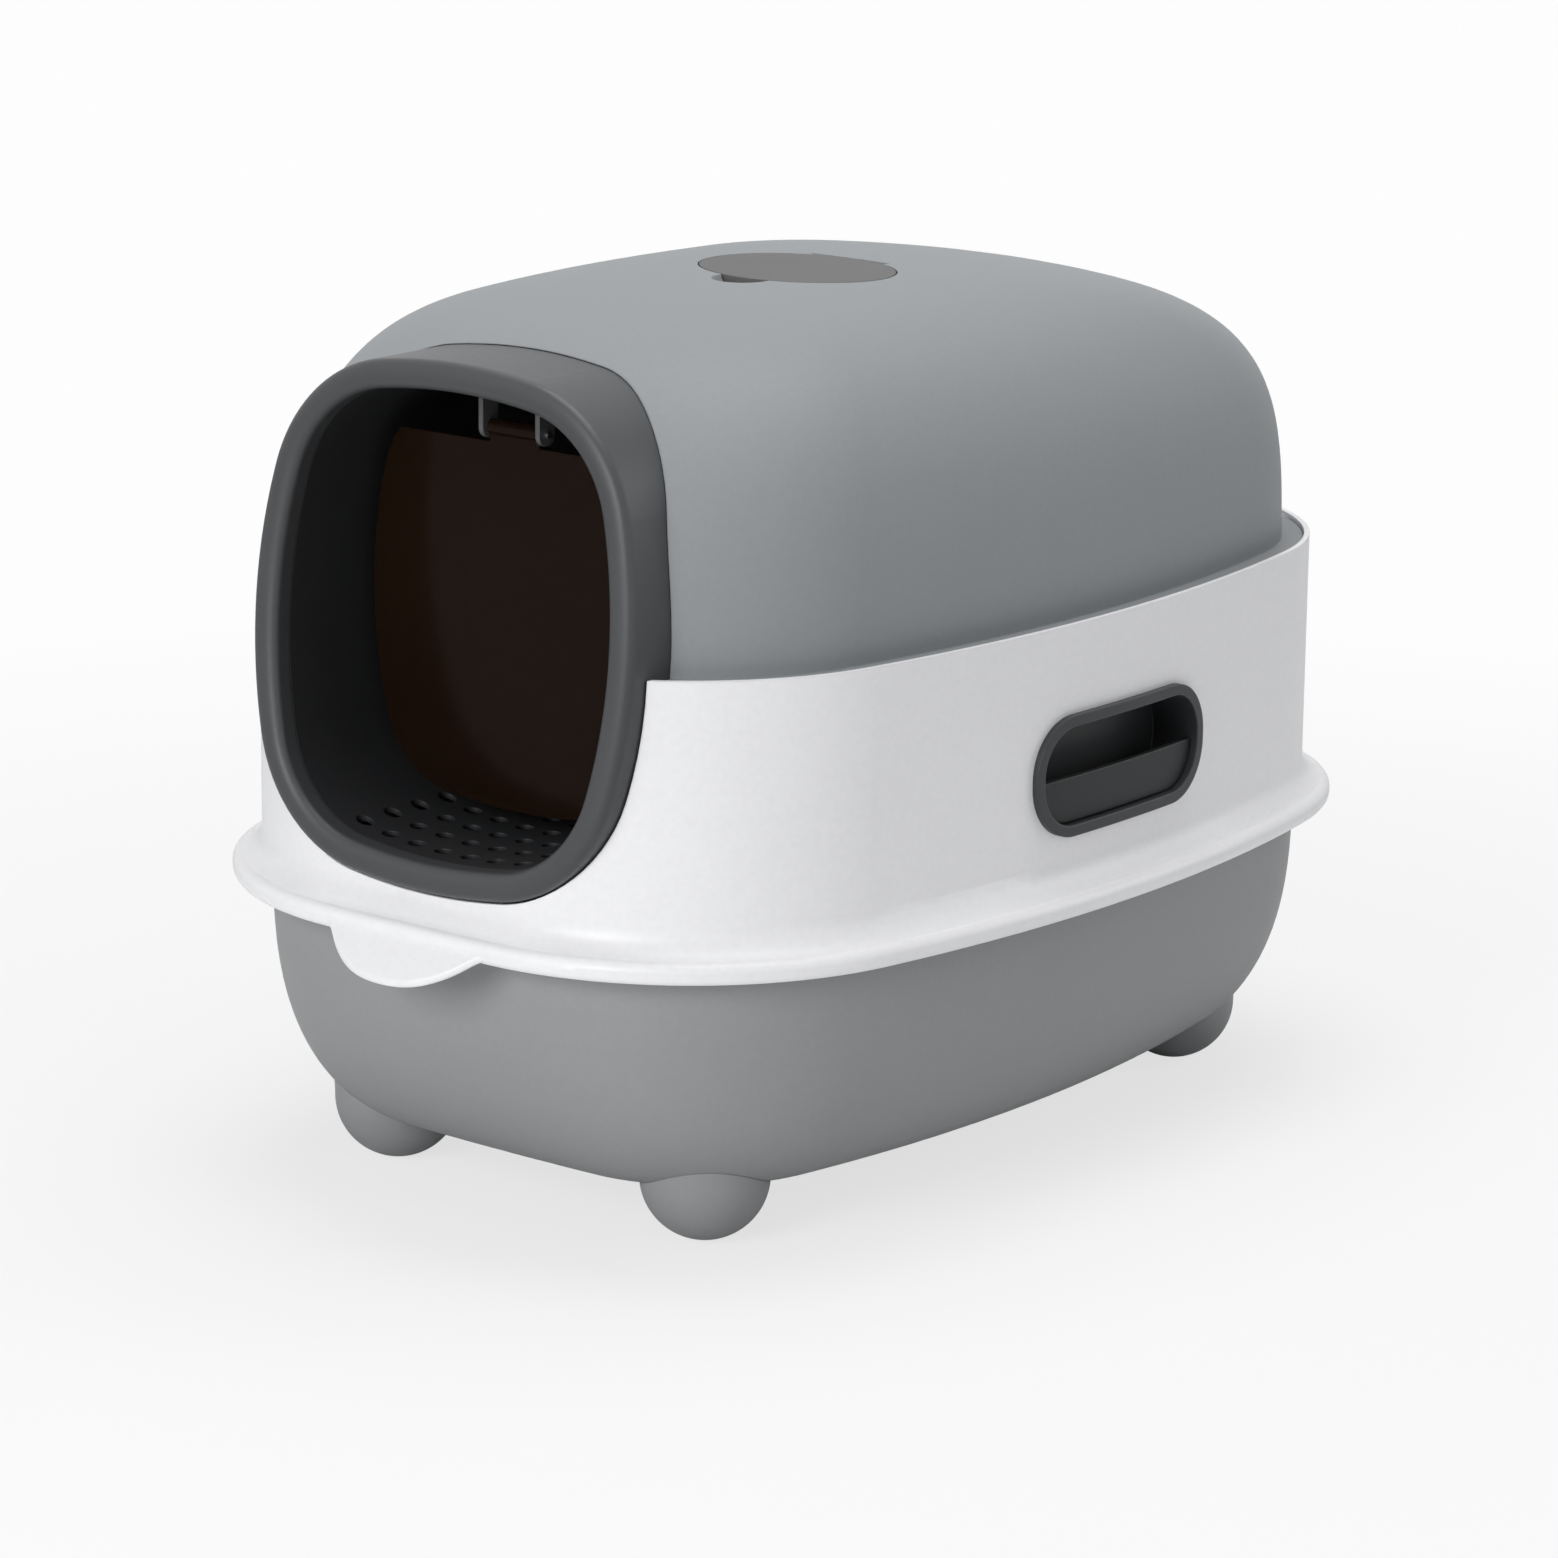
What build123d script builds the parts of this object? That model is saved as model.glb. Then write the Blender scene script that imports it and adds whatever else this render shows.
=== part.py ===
from build123d import *
import math
import os

os.makedirs("parts", exist_ok=True)

# All lengths are in millimetres. Front is -Y, +X is the viewer's right, +Z is up.
# Pieces are modelled round the middle of the flange and moved back by body_shift when saved,
# so that the whole part stands centred on the origin.

# overall size, as printed beside the object
overall_width = 390.0
overall_length = 560.0
overall_height = 400.0

# clearances
overrun = 10.0
far = 600.0
seat_gap = 0.3
slide_gap = 0.8
run_fit = 0.06

# flange outline: a rectangle with bowed sides, made of eight tangent arcs
tab_reach = 16.0
flange_half_w = overall_width / 2
flange_half_l = (overall_length - tab_reach) / 2
flange_end_r = 2900.0
flange_side_r = 830.0
flange_corner_r = 137.0
body_shift = tab_reach / 2

# band profile, as insets from the flange edge and heights
wall_out = 13.5
wall_thick = 2.6
wall_in = wall_out + wall_thick
band_top = 265.0
web_top = 157.5
web_fillet_d = 11.2
web_fillet_z = 150.0
groove_d = 5.0
groove_z = 145.2
lip_high_d = 1.6
lip_high_z = 144.5
lip_mid_z = 140.6
lip_low_d = 0.5
lip_low_z = 137.5
lip_foot_d = 1.8
lip_foot_z = 136.0
lip_back_d = 5.2
under_d = 5.6
under_z = 141.0
under_in_d = 9.0
under_in_z = 143.0
seat_z = 146.3
seat_in_d = 27.0
seat_thick = 2.8
shelf_in_d = 24.0
shelf_z = 258.0
shelf_thick = 2.4
shelf_top = shelf_z + shelf_thick
rib_gap = 0.6
rib_thick = 2.0
rib_foot_z = 138.5

# front lift tab
tab_half_w = 52.0
tab_mid_w = 37.0
tab_mid_share = 0.3
tab_near_w = 19.0
tab_near_share = 0.86
tab_root = 3.2
tab_top_z = 139.8
tab_thick = 3.4
tab_droop = 42.0
tab_round = 1.2

# pan
pan_in_w = 16.0
pan_in_l = 22.0
pan_half_w = flange_half_w - pan_in_w
pan_half_l = flange_half_l - pan_in_l
pan_end_r = 1500.0
pan_side_r = 800.0
pan_corner_r = 115.0
pan_rim_z = 146.0
pan_turn_z = 142.0
pan_floor_z = 26.5
pan_inset = 47.0
pan_wall = 3.0
pan_drop_shares = [0, 0.1, 0.22, 0.34, 0.46, 0.57, 0.67, 0.76, 0.84, 0.905, 0.955, 0.987, 1]
pan_rise_power = 2.86
pan_inset_power = 1.57
catch_half_w = 13.0
catch_z = 137.5
catch_high = 2.5
catch_reach = 1.8

# feet
foot_x_share = 0.5084
foot_front_share = 0.708
foot_rear_share = 0.732
foot_x = foot_x_share * pan_half_w
foot_front_y = -foot_front_share * pan_half_l
foot_rear_y = foot_rear_share * pan_half_l
foot_r = 29.0
foot_ball_z = 28.5
foot_top_z = 60.0
foot_flare = 80.0

# dome
dome_inset = 26.5
dome_z = 257.0
dome_wall = 2.6
dome_rise_shares = [0, 0.1, 0.21, 0.32, 0.43, 0.53, 0.62, 0.7, 0.77, 0.83, 0.88, 0.92, 0.952, 0.976, 0.991, 0.9992]
dome_rise_power = 3.56
dome_power_x = 3.82
dome_power_y = 3.5
crown_shift = -35.0
crown_shift_power = 7.2
crown_end_r = 221.0
crown_bow_power = 0.7
end_floor_share = 1.01
corner_cap_share = 0.97
ledge_z = shelf_top + seat_gap
ledge_thick = 2.3
ledge_gap = 0.7
ledge_rear_in = 40.0
ledge_rear_cut_y = flange_half_l - ledge_rear_in

# entry: a collar with a leaning front, and a liner inside it
entry_in = 25.5
entry_y = entry_in - flange_half_l
entry_lean = 5.6
collar_drop = 12.8
collar_dip = 0.7
collar_top = overall_height - collar_drop
collar_foot = web_top - collar_dip
entry_z = (collar_top + collar_foot) / 2
collar_w_share = 0.5564
collar_half_w = collar_w_share * flange_half_w
collar_half_h = (collar_top - collar_foot) / 2
collar_end_r = 303.0
collar_side_r = 239.0
collar_corner_r = 70.0
collar_depth = 78.0
collar_wall = 2.6
ring_solid = 6.0
ring_nose = 4.8
nose_in_shares = [0, 0.03, 0.11, 0.25, 0.45, 0.67, 0.85, 0.96, 1]
nose_out_shares = [0, 0.4, 0.7, 0.9, 1.0, 0.98, 0.8, 0.5, 0]
ring_face_w = 13.5
ring_face_h = 13.0
liner_half_w = collar_half_w - ring_face_w
liner_half_h = collar_half_h - ring_face_h
liner_end_r = 290.0
liner_side_r = 232.0
liner_corner_r = 54.0
liner_wall = 2.4
liner_depth = 116.0
sleeve_cut_in = 10.5
sleeve_cut_y = entry_y + sleeve_cut_in
sleeve_cut_drop = 32.0
sleeve_cut_z = entry_z - sleeve_cut_drop
hole_r = 4.0
hole_columns = 8
hole_rows = 5
hole_pitch_share = 0.162
hole_pitch_y = 18.0
hole_first_in = 8.5
hole_below = 12.0
hole_above = 26.0

# flap and its hinge
flap_in = 48.5
flap_y = entry_y + flap_in
flap_hang = 22.2
flap_axis_z = entry_z + liner_half_h - flap_hang
flap_inset = 12.0
flap_thick = 2.5
flap_top_gap = 6.5
knuckle_r = 3.5
knuckle_half_w = 14.0
bracket_in_x = 15.0
bracket_thick = 2.5
bracket_r = 5.0
flap_pin_r = 1.5
flap_pin_half = 19.0

# top lid, hinge pin, filter tray and pad
lid_y = -4.0
lid_half_w = 48.3
lid_half_l = 39.0
lid_thick = 3.5
lid_base_z = overall_height - lid_thick
lid_gap = 0.7
boss_margin_w = 13.0
boss_margin_l = 14.0
boss_deep = 17.0
boss_z = overall_height - boss_deep
recess_z = lid_base_z - seat_gap
tray_hole_w = 43.0
tray_hole_l = 30.0
tray_lip_deep = 14.5
tray_lip_z = overall_height - tray_lip_deep
tray_lip = 4.0
tray_gap = 0.4
tray_wall = 1.8
tray_top_deep = 4.6
tray_top_z = overall_height - tray_top_deep
slot_half_w = 13.0
slot_w = 2.6
slot_pitch = 7.0
slot_count = 5
pad_gap = 0.5
pad_top_deep = 5.6
pad_top_z = overall_height - pad_top_deep
notch_r = 15.0
notch_rise = 5.5
notch_ahead = 1.0
lid_axis_in = 2.2
lid_axis_deep = 2.4
lid_axis_z = overall_height - lid_axis_deep
lid_pin_r = 0.8
lid_pin_half = 26.5
swing_gap = 0.3
swing_reach = 8.0
swing_steps = 8
swing_angle = 96.0

# side latches
latch_y = 4.0
latch_z = 197.0
frame_half_w = 64.0
frame_half_h = 27.6
frame_corner_r = 26.0
frame_face = 5.0
frame_proud = 3.0
frame_lap = 2.2
cup_gap = 0.4
cup_depth = 24.0
cup_wall = 2.2
paddle_gap = 0.9
paddle_out_d = 14.0
paddle_thick = 3.0
paddle_top_z = 195.5
paddle_pin_d = 18.8
paddle_pin_x = flange_half_w - paddle_pin_d
paddle_pin_z = 183.4
paddle_barrel_r = 3.2
paddle_barrel_half = 45.0
paddle_pin_r = 1.5
paddle_pin_in = 6.8
paddle_pin_half = frame_half_w - paddle_pin_in
tail_half_w = 12.0
tail_in_d = 24.5
tail_in_x = flange_half_w - tail_in_d
tail_out_d = 22.5
tail_out_x = flange_half_w - tail_out_d
tail_foot_z = 131.5
nose_top_z = 136.0
nose_out_d = 21.3
nose_out_x = flange_half_w - nose_out_d
tail_side_gap = 1.6
tail_slot_in_d = 45.0
tail_slot_in_x = flange_half_w - tail_slot_in_d
tail_slot_out_d = 19.4
tail_slot_out_x = flange_half_w - tail_slot_out_d
cup_slot_in_d = 32.5
cup_slot_in_x = flange_half_w - cup_slot_in_d
cup_slot_low_z = 168.0
cup_slot_high_z = 179.0

# hood hinge at the back
hinge_in_d = 21.5
hinge_z = 262.0
hinge_x = 40.0
hinge_half = 9.6
hinge_r = 3.3
hinge_pin_r = 1.5
lug_gap = 0.4
lug_thick = 5.0
hinge_web_low = 2.4
hinge_web_high = 1.0
hinge_web_in = 7.5
lug_low = 2.0
lug_high = 2.0
shelf_cut_half = 62.0
shelf_cut_in = 36.0
shelf_cut_y = flange_half_l - shelf_cut_in


def arc(center, radius, start, end):
    """Circular edge from one angle to another, in radians."""
    points = []
    for angle in (start, (start + end) / 2, end):
        points.append((center[0] + radius * math.cos(angle), center[1] + radius * math.sin(angle)))
    return ThreePointArc(points[0], points[1], points[2])


def bowed_arcs(half_w, half_l, end_r, side_r, corner_r):
    """Centre, radius and angles of the eight tangent arcs of a bowed rectangle."""
    end_c = half_l - end_r
    side_c = half_w - side_r
    dist = math.hypot(side_c, end_c)
    reach_end = end_r - corner_r
    reach_side = side_r - corner_r
    along = (dist ** 2 + reach_end ** 2 - reach_side ** 2) / (2 * dist)
    off = math.sqrt(reach_end ** 2 - along ** 2)
    ux = side_c / dist
    uy = -end_c / dist
    one = (ux * along - uy * off, end_c + uy * along + ux * off)
    two = (ux * along + uy * off, end_c + uy * along - ux * off)
    cx, cy = max(one, two, key=sum)
    ts = math.atan2(cy, cx - side_c)
    te = math.atan2(cy - end_c, cx)
    pi = math.pi
    return [
        ((side_c, 0), side_r, -ts, ts),
        ((cx, cy), corner_r, ts, te),
        ((0, end_c), end_r, te, pi - te),
        ((-cx, cy), corner_r, pi - te, pi - ts),
        ((-side_c, 0), side_r, pi - ts, pi + ts),
        ((-cx, -cy), corner_r, pi + ts, pi + te),
        ((0, -end_c), end_r, pi + te, 2 * pi - te),
        ((cx, -cy), corner_r, 2 * pi - te, 2 * pi - ts),
    ]


def bowed_wire(half_w, half_l, end_r, side_r, corner_r):
    return Wire([arc(*item) for item in bowed_arcs(half_w, half_l, end_r, side_r, corner_r)])


def flange_sizes(inset):
    return [size - inset for size in (flange_half_w, flange_half_l, flange_end_r, flange_side_r, flange_corner_r)]


def prism(wire, low, high):
    return extrude(Pos(0, 0, low) * Face(wire), amount=high - low, dir=(0, 0, 1))


def flange_prism(inset, low, high):
    return prism(bowed_wire(*flange_sizes(inset)), low, high)


def block(low, high):
    """Box between two corners."""
    size = [b - a for a, b in zip(low, high)]
    middle = [(a + b) / 2 for a, b in zip(low, high)]
    return Pos(*middle) * Box(*size)


def rod_x(radius, half, y, z):
    return Pos(0, y, z) * Rot(0, 90, 0) * Cylinder(radius, 2 * half)


def rod_y(radius, half, x, y, z):
    return Pos(x, y, z) * Rot(90, 0, 0) * Cylinder(radius, 2 * half)


def ellipse_prism(half_w, half_l, low, high):
    return Pos(0, lid_y, low) * extrude(Ellipse(half_w, half_l), amount=high - low, dir=(0, 0, 1))


def mirrored(shape):
    return mirror(shape, about=Plane.YZ)


def band_profile(radius):
    """Section of the band: outer wall, flange, lip, pan seat and hood shelf."""
    def at(inset, z):
        return (radius - inset, z)
    seat_top = seat_z + seat_thick
    edges = [
        Line(at(wall_in, band_top), at(wall_out, band_top)),
        Line(at(wall_out, band_top), at(wall_out, web_top)),
        ThreePointArc(at(wall_out, web_top), at(web_fillet_d, web_fillet_z), at(groove_d, groove_z)),
        ThreePointArc(at(groove_d, groove_z), at(lip_high_d, lip_high_z), at(0, lip_mid_z)),
        ThreePointArc(at(0, lip_mid_z), at(lip_low_d, lip_low_z), at(lip_foot_d, lip_foot_z)),
        Line(at(lip_foot_d, lip_foot_z), at(lip_back_d, lip_foot_z)),
        Line(at(lip_back_d, lip_foot_z), at(under_d, under_z)),
        Line(at(under_d, under_z), at(under_in_d, under_in_z)),
        Line(at(under_in_d, under_in_z), at(wall_out, seat_z)),
        Line(at(wall_out, seat_z), at(seat_in_d, seat_z)),
        Line(at(seat_in_d, seat_z), at(seat_in_d, seat_top)),
        Line(at(seat_in_d, seat_top), at(wall_in, seat_top)),
        Line(at(wall_in, seat_top), at(wall_in, shelf_z)),
        Line(at(wall_in, shelf_z), at(shelf_in_d, shelf_z)),
        Line(at(shelf_in_d, shelf_z), at(shelf_in_d, shelf_top)),
        Line(at(shelf_in_d, shelf_top), at(wall_in, shelf_top)),
        Line(at(wall_in, shelf_top), at(wall_in, band_top)),
    ]
    return Face(Wire(edges))


def ring_from(profile):
    """Carry a section round the flange outline, arc by arc."""
    ring = None
    for center, radius, start, end in bowed_arcs(*flange_sizes(0)):
        cos_a, sin_a = math.cos(start), math.sin(start)
        plane = Plane(origin=(*center, 0), x_dir=(cos_a, sin_a, 0), z_dir=(sin_a, -cos_a, 0))
        axis = Axis((*center, 0), (0, 0, 1))
        piece = revolve(plane * profile(radius), axis=axis, revolution_arc=math.degrees(end - start))
        ring = piece if ring is None else ring + piece
    return ring


def pan_sizes(inset):
    return [size - inset for size in (pan_half_w, pan_half_l, pan_end_r, pan_side_r, pan_corner_r)]


def pan_loft(skin, top):
    """Pan shape up to a height, shrunk by skin on every side and raised by it at the floor."""
    low = pan_floor_z + skin
    wires = [Pos(0, 0, top) * bowed_wire(*pan_sizes(skin))]
    for drop in pan_drop_shares:
        inset = pan_inset * (1 - (1 - drop ** pan_rise_power) ** (1 / pan_inset_power))
        wires.append(Pos(0, 0, pan_turn_z - drop * (pan_turn_z - low)) * bowed_wire(*pan_sizes(skin + inset)))
    return Solid.make_loft(wires)


def dome_loft(skin):
    """Hood shape, shrunk by skin on every side; its ends grow rounder towards the crown."""
    half_w, half_l, end_r, side_r, corner_r = flange_sizes(dome_inset + skin)
    top = overall_height - skin
    wires = []
    for rise in dome_rise_shares:
        sx = (1 - rise ** dome_rise_power) ** (1 / dome_power_x)
        sy = (1 - rise ** dome_rise_power) ** (1 / dome_power_y)
        bow = rise ** crown_bow_power
        bowed_r = sy / ((1 - bow) / end_r + bow / crown_end_r)
        section_end_r = max(bowed_r, end_floor_share * half_w * sx)
        section_corner_r = min(corner_r * math.sqrt(sx * sy), corner_cap_share * section_end_r)
        wire = bowed_wire(half_w * sx, half_l * sy, section_end_r, side_r * sx, section_corner_r)
        shift = crown_shift * rise ** crown_shift_power
        wires.append(Pos(0, shift, dome_z + rise / dome_rise_shares[-1] * (top - dome_z)) * wire)
    return Solid.make_loft(wires)


lean = math.radians(entry_lean)
entry_plane = Plane(origin=(0, entry_y, entry_z), x_dir=(1, 0, 0), z_dir=(0, -math.cos(lean), math.sin(lean)))
collar_sizes = (collar_half_w, collar_half_h, collar_end_r, collar_side_r, collar_corner_r)
liner_sizes = (liner_half_w, liner_half_h, liner_end_r, liner_side_r, liner_corner_r)


def entry_wire(sizes, grow, ahead):
    """Entry outline, grown on every side, on a plane ahead of the ring's edge."""
    return entry_plane.offset(ahead) * bowed_wire(*[size + grow for size in sizes])


def entry_prism(sizes, grow, start, depth):
    """Entry outline carried straight back from start behind the ring's edge."""
    face = Pos(0, start, 0) * Face(entry_wire(sizes, grow, 0))
    return extrude(face, amount=depth, dir=(0, 1, 0))


# pan and feet
pan_outer = pan_loft(0, pan_rim_z)
pan_room = pan_loft(pan_wall, pan_rim_z + overrun)
base_pan = pan_outer - pan_room
catch_out = pan_half_w - pan_wall / 2
catch = block((pan_half_w - pan_wall - catch_reach, latch_y - catch_half_w, catch_z),
              (catch_out, latch_y + catch_half_w, catch_z + catch_high))
base_pan = base_pan + catch + mirrored(catch)


def flare_at(rise):
    """Radius of the foot's neck, which widens from the middle of the ball upwards."""
    return foot_r + foot_flare - math.sqrt(foot_flare ** 2 - rise ** 2)


foot_flat_r = math.sqrt(foot_r ** 2 - foot_ball_z ** 2)
ball_turn = math.asin(foot_ball_z / foot_r) / 2
ball_low = (foot_r * math.cos(ball_turn), foot_ball_z - foot_r * math.sin(ball_turn))
flare_rise = foot_top_z - foot_ball_z
foot_edge_r = flare_at(flare_rise)
foot_edges = [
    Line((0, 0), (foot_flat_r, 0)),
    ThreePointArc((foot_flat_r, 0), ball_low, (foot_r, foot_ball_z)),
    ThreePointArc((foot_r, foot_ball_z), (flare_at(flare_rise / 2), foot_ball_z + flare_rise / 2),
                  (foot_edge_r, foot_top_z)),
    Line((foot_edge_r, foot_top_z), (0, foot_top_z)),
    Line((0, foot_top_z), (0, 0)),
]
foot_shape = revolve(Plane.XZ * make_face(foot_edges), axis=Axis.Z)


def foot_at(x, y):
    foot = Pos(x, y, 0) * foot_shape - pan_outer
    return min(foot.solids(), key=lambda solid: solid.bounding_box().min.Z)


foot_front = foot_at(foot_x, foot_front_y)
foot_rear = foot_at(foot_x, foot_rear_y)
feet = {
    "foot_front_left": mirrored(foot_front),
    "foot_front_right": foot_front,
    "foot_rear_left": mirrored(foot_rear),
    "foot_rear_right": foot_rear,
}

# side latch, right hand
latch_plane = Plane(origin=(0, latch_y, latch_z), x_dir=(0, 1, 0), z_dir=(1, 0, 0))


def latch_prism(inset):
    shape = RectangleRounded(2 * (frame_half_w - inset), 2 * (frame_half_h - inset), frame_corner_r - inset)
    return extrude(latch_plane * shape, amount=far, dir=(1, 0, 0))


def wall_layer(outer_d, inner_d):
    low = latch_z - 2 * frame_half_h
    high = latch_z + 2 * frame_half_h
    return flange_prism(outer_d, low, high) - flange_prism(inner_d, low - overrun, high + overrun)


frame_plate = latch_prism(0) & wall_layer(wall_out - frame_proud, wall_out)
cup = latch_prism(frame_lap + cup_gap) & wall_layer(wall_out, wall_out + cup_depth)
scoop = latch_prism(frame_face) & wall_layer(-overrun, wall_out + cup_depth - cup_wall)
cup_slot = block((cup_slot_in_x, latch_y - tail_half_w - tail_side_gap, cup_slot_low_z),
                 (tail_slot_out_x, latch_y + tail_half_w + tail_side_gap, cup_slot_high_z))
paddle_pin = rod_y(paddle_pin_r, paddle_pin_half, paddle_pin_x, latch_y, paddle_pin_z)
latch_housing = frame_plate + cup - scoop - cup_slot - paddle_pin

paddle = latch_prism(frame_face + paddle_gap) & wall_layer(paddle_out_d, paddle_out_d + paddle_thick)
paddle -= block((0, -far, paddle_top_z), (far, far, far))
paddle += rod_y(paddle_barrel_r, paddle_barrel_half, paddle_pin_x, latch_y, paddle_pin_z)
paddle += block((tail_in_x, latch_y - tail_half_w, tail_foot_z),
                (tail_out_x, latch_y + tail_half_w, paddle_pin_z))
paddle += block((tail_in_x, latch_y - tail_half_w, paddle_pin_z - paddle_barrel_r),
                (paddle_pin_x, latch_y + tail_half_w, paddle_pin_z))
paddle += block((tail_in_x, latch_y - tail_half_w, tail_foot_z),
                (nose_out_x, latch_y + tail_half_w, nose_top_z))
paddle -= rod_y(paddle_pin_r + run_fit, paddle_pin_half, paddle_pin_x, latch_y, paddle_pin_z)

# band
band = ring_from(band_profile)
pan_in = pan_sizes(pan_wall + rib_gap)
rib_in = pan_sizes(pan_wall + rib_gap + rib_thick)
rib_top = seat_z + seat_thick / 2
band += prism(bowed_wire(*pan_in), rib_foot_z, rib_top) - prism(bowed_wire(*rib_in), rib_foot_z - overrun, far)
tab_front = flange_half_l + tab_reach
tab_back = flange_half_l - tab_root
tab_side = [
    (-tab_half_w, -flange_half_l + lip_foot_d),
    (-tab_mid_w, -flange_half_l - tab_reach * tab_mid_share),
    (-tab_near_w, -flange_half_l - tab_reach * tab_near_share),
    (0, -tab_front),
]
tab_curve = Spline(*tab_side, *[(-x, y) for x, y in tab_side[-2::-1]], tangents=[(1, 0), (1, 0)])
tab_edges = [
    tab_curve,
    Line((tab_half_w, -flange_half_l + lip_foot_d), (tab_half_w, -tab_back)),
    Line((tab_half_w, -tab_back), (-tab_half_w, -tab_back)),
    Line((-tab_half_w, -tab_back), (-tab_half_w, -flange_half_l + lip_foot_d)),
]
tab_slab = Pos(0, -flange_half_l, tab_top_z) * Rot(tab_droop, 0, 0) * Box(far, far, tab_thick, align=(
    Align.CENTER, Align.CENTER, Align.MAX))
tab = prism(Wire(tab_edges), 0, overall_height) & tab_slab
tab = fillet(tab.edges().filter_by(lambda e: e.center().Y < -flange_half_l).filter_by(GeomType.LINE, reverse=True),
             tab_round)
band += tab
notch = entry_prism(collar_sizes, slide_gap, -far / 2, far - far / 4)
band -= notch
window = latch_prism(frame_lap) & flange_prism(-overrun, 0, overall_height)
tail_slot = block((tail_slot_in_x, latch_y - tail_half_w - tail_side_gap, rib_foot_z - overrun),
                  (tail_slot_out_x, latch_y + tail_half_w + tail_side_gap, seat_z + seat_thick + overrun))
for cut in (window, tail_slot):
    band = band - cut - mirrored(cut)
hinge_y = flange_half_l - hinge_in_d
band -= block((-shelf_cut_half, shelf_cut_y, shelf_z - seat_gap),
              (shelf_cut_half, flange_half_l - wall_in, shelf_top + seat_gap))
lug_in = hinge_half + lug_gap
hinge_pin = rod_x(hinge_pin_r, lug_in + lug_thick, hinge_y, hinge_z)
hinge_bore = rod_x(hinge_pin_r + run_fit, lug_in + lug_thick, hinge_y, hinge_z)
lug_pair = rod_x(hinge_r, lug_in + lug_thick, hinge_y, hinge_z)
lug_pair += block((-lug_in - lug_thick, hinge_y, hinge_z - lug_low),
                  (lug_in + lug_thick, flange_half_l - wall_in + wall_thick / 2, hinge_z + lug_high))
lug_pair -= block((-lug_in, -far, 0), (lug_in, far, far))
for side in (-hinge_x, hinge_x):
    band = band + Pos(side, 0, 0) * lug_pair - Pos(side, 0, 0) * hinge_pin

# hood
dome_outer = dome_loft(0)
dome_room = dome_loft(dome_wall)
dome = dome_outer - dome_room - block((-far, -far, 0), (far, far, dome_z + seat_gap))
lid_boss = ellipse_prism(lid_half_w + boss_margin_w, lid_half_l + boss_margin_l, boss_z, overall_height + overrun)
dome += lid_boss & dome_outer
ledge_high = ledge_z + ledge_thick
ledge = flange_prism(wall_in + ledge_gap, ledge_z, ledge_high)
ledge -= flange_prism(dome_inset + dome_wall / 2, 0, far)
ledge -= block((-far, ledge_rear_cut_y, 0), (far, far, far))
dome += ledge
dome -= ellipse_prism(lid_half_w + lid_gap, lid_half_l + lid_gap, recess_z, far)
dome -= ellipse_prism(tray_hole_w, tray_hole_l, tray_lip_z, far)
dome -= ellipse_prism(tray_hole_w - tray_lip, tray_hole_l - tray_lip, 0, far)
lid_front = lid_y - lid_half_l
dome -= Pos(0, lid_front - notch_ahead, overall_height + notch_rise) * Sphere(notch_r)
lid_axis_y = lid_y + lid_half_l - lid_axis_in
lid_sweep = ellipse_prism(lid_half_w + swing_gap, lid_half_l + swing_gap, lid_base_z, overall_height + swing_gap)
lid_sweep = lid_sweep & block((-far, lid_axis_y - swing_reach, 0), (far, far, far))
lid_axis = Axis((0, lid_axis_y, lid_axis_z), (-1, 0, 0))
for turn in range(1, swing_steps + 1):
    dome -= lid_sweep.rotate(lid_axis, turn * swing_angle / swing_steps)
lid_pin = rod_x(lid_pin_r, lid_pin_half, lid_axis_y, lid_axis_z)
dome -= lid_pin
dome -= entry_prism(collar_sizes, seat_gap, -far / 2, far - far / 4) & block((-far, -far, 0), (far, 0, far))
knuckle = rod_x(hinge_r, hinge_half, hinge_y, hinge_z)
knuckle += block((-hinge_half, hinge_y - hinge_web_in, hinge_z - hinge_web_low),
                 (hinge_half, hinge_y, hinge_z + hinge_web_high))
knuckle -= dome_room
for side in (-hinge_x, hinge_x):
    dome = dome + Pos(side, 0, 0) * knuckle - Pos(side, 0, 0) * hinge_bore

# entry collar: sleeve, solid ring and a rounded nose round the opening
nose_wires = []
for inward, ahead in zip(nose_in_shares, nose_out_shares):
    sizes = [c + (i - c) * inward for c, i in zip(collar_sizes, liner_sizes)]
    nose_wires.append(entry_wire(sizes, 0, ahead * ring_nose))
nose_skin = Solid.make_loft(nose_wires).faces().filter_by(GeomType.PLANE, reverse=True)
nose_back = Face(nose_wires[0], [nose_wires[-1]])
nose = Solid(Shell([*nose_skin, nose_back]))
collar = entry_prism(collar_sizes, 0, 0, collar_depth) - entry_prism(liner_sizes, 0, -far / 2, far)
collar -= entry_prism(collar_sizes, -collar_wall, ring_solid, far)
collar -= block((-far, sleeve_cut_y, 0), (far, far, sleeve_cut_z))
collar += nose

liner_shell = entry_prism(liner_sizes, liner_wall, ring_solid, liner_depth)
liner_room = entry_prism(liner_sizes, 0, -far / 2, far)
tunnel = liner_shell - liner_room
hole_z = entry_z - liner_half_h + (hole_above - hole_below) / 2
hole_pitch_x = hole_pitch_share * liner_half_w
drills = []
for column in range(hole_columns):
    for row in range(hole_rows):
        x = (column - (hole_columns - 1) / 2) * hole_pitch_x
        y = entry_y + hole_first_in + row * hole_pitch_y
        drills.append(Pos(x, y, hole_z) * Cylinder(hole_r, hole_above + hole_below))
tunnel = tunnel - drills

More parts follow.
